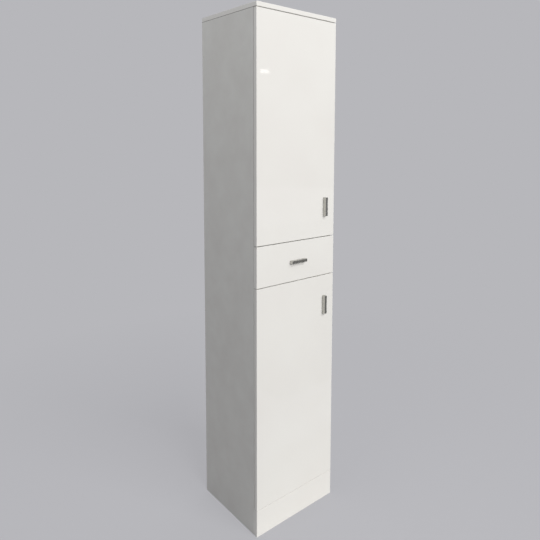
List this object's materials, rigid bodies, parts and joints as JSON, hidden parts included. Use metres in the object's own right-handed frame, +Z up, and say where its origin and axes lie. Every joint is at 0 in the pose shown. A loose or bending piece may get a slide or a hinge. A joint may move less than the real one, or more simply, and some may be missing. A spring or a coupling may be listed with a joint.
{
  "type": "tall bathroom cabinet",
  "caption": "Tall narrow free-standing bathroom cabinet with an upper door, a drawer and a lower door in white high gloss, block handles and a plinth.",
  "frame": {"origin": "on the floor, under the middle of the overall box, which includes the handles", "axes": "+Z up, -Y towards the front with the doors, +Y towards the wall, +X to the right seen from the front"},
  "size_m": [0.37, 0.3656, 1.9],
  "materials": {
    "gloss_white_lacquer": "high-gloss white lacquer on MDF",
    "white_melamine": "satin white melamine on chipboard",
    "white_hardboard": "white-faced hardboard",
    "beech": "plain beech",
    "satin_chrome": "satin chrome on zinc",
    "nickel_steel": "nickel-plated pressed steel",
    "white_coated_steel": "white epoxy powder coat on steel",
    "white_nylon": "natural nylon",
    "clear_bumper": "clear soft polyurethane"
  },
  "bodies": {
    "root": {"back_panel": "white_hardboard", "bottom_panel": "white_melamine", "cabinet_runner_screws": "nickel_steel", "dowels": "beech", "front_roller_axles": "nickel_steel", "hinge_screws": "nickel_steel", "left_cabinet_runner": "white_coated_steel", "left_side_panel": "white_melamine", "lower_divider": "white_melamine", "lower_door_bottom_hinge_arm": "nickel_steel", "lower_door_bottom_hinge_plate": "nickel_steel", "lower_door_top_hinge_arm": "nickel_steel", "lower_door_top_hinge_plate": "nickel_steel", "lower_shelf_1": "white_melamine", "plinth_board": "gloss_white_lacquer", "rear_plinth_rail": "white_melamine", "right_cabinet_runner": "white_coated_steel", "right_side_panel": "white_melamine", "shelf_pins": "nickel_steel", "top_panel": "gloss_white_lacquer", "upper_divider": "white_melamine", "upper_door_bottom_hinge_arm": "nickel_steel", "upper_door_bottom_hinge_plate": "nickel_steel", "upper_door_top_hinge_arm": "nickel_steel", "upper_door_top_hinge_plate": "nickel_steel", "upper_shelf_1": "white_melamine", "upper_shelf_2": "white_melamine", "wall_fixing_rail": "white_melamine"},
    "drawer": {"drawer_back": "white_melamine", "drawer_bottom": "white_hardboard", "drawer_front": "gloss_white_lacquer", "drawer_handle": "satin_chrome", "drawer_handle_screws": "nickel_steel", "drawer_left_side": "white_melamine", "drawer_right_side": "white_melamine", "drawer_runner_screws": "nickel_steel", "left_drawer_runner": "white_coated_steel", "rear_roller_axles": "nickel_steel", "right_drawer_runner": "white_coated_steel"},
    "front_rollers": {"front_rollers": "white_nylon"},
    "lower_door": {"lower_door_bottom_hinge_cup": "nickel_steel", "lower_door_bumpers": "clear_bumper", "lower_door_cup_screws": "nickel_steel", "lower_door_handle": "satin_chrome", "lower_door_handle_screws": "nickel_steel", "lower_door_hinge_pins": "nickel_steel", "lower_door_panel": "gloss_white_lacquer", "lower_door_top_hinge_cup": "nickel_steel"},
    "rear_rollers": {"rear_rollers": "white_nylon"},
    "upper_door": {"upper_door_bottom_hinge_cup": "nickel_steel", "upper_door_bumpers": "clear_bumper", "upper_door_cup_screws": "nickel_steel", "upper_door_handle": "satin_chrome", "upper_door_handle_screws": "nickel_steel", "upper_door_hinge_pins": "nickel_steel", "upper_door_panel": "gloss_white_lacquer", "upper_door_top_hinge_cup": "nickel_steel"}
  },
  "joints": [
    {"name": "upper_door_hinge", "type": "hinge", "parent": "root", "child": "upper_door", "pos_m": [-0.1784, -0.16125, 1.47775], "axis": [0, 0, -1], "range_deg": [0, 100]},
    {"name": "lower_door_hinge", "type": "hinge", "parent": "root", "child": "lower_door", "pos_m": [-0.1784, -0.16125, 0.51075], "axis": [0, 0, -1], "range_deg": [0, 100]},
    {"name": "drawer_slide", "type": "slide", "parent": "root", "child": "drawer", "axis": [0, -1, 0], "range_m": [0, 0.18]},
    {"name": "front_rollers_spin", "type": "hinge", "parent": "root", "child": "front_rollers", "pos_m": [0, -0.13525, 0.954], "axis": [1, 0, 0], "range_deg": [0, 1300]},
    {"name": "rear_rollers_spin", "type": "hinge", "parent": "drawer", "child": "rear_rollers", "pos_m": [0, 0.10875, 0.9525], "axis": [1, 0, 0], "range_deg": [0, 1300]}
  ],
  "couplings": [
    {"joint": "front_rollers_spin", "follows": "drawer_slide", "rad_per_m": 125},
    {"joint": "rear_rollers_spin", "follows": "drawer_slide", "rad_per_m": 125}
  ]
}
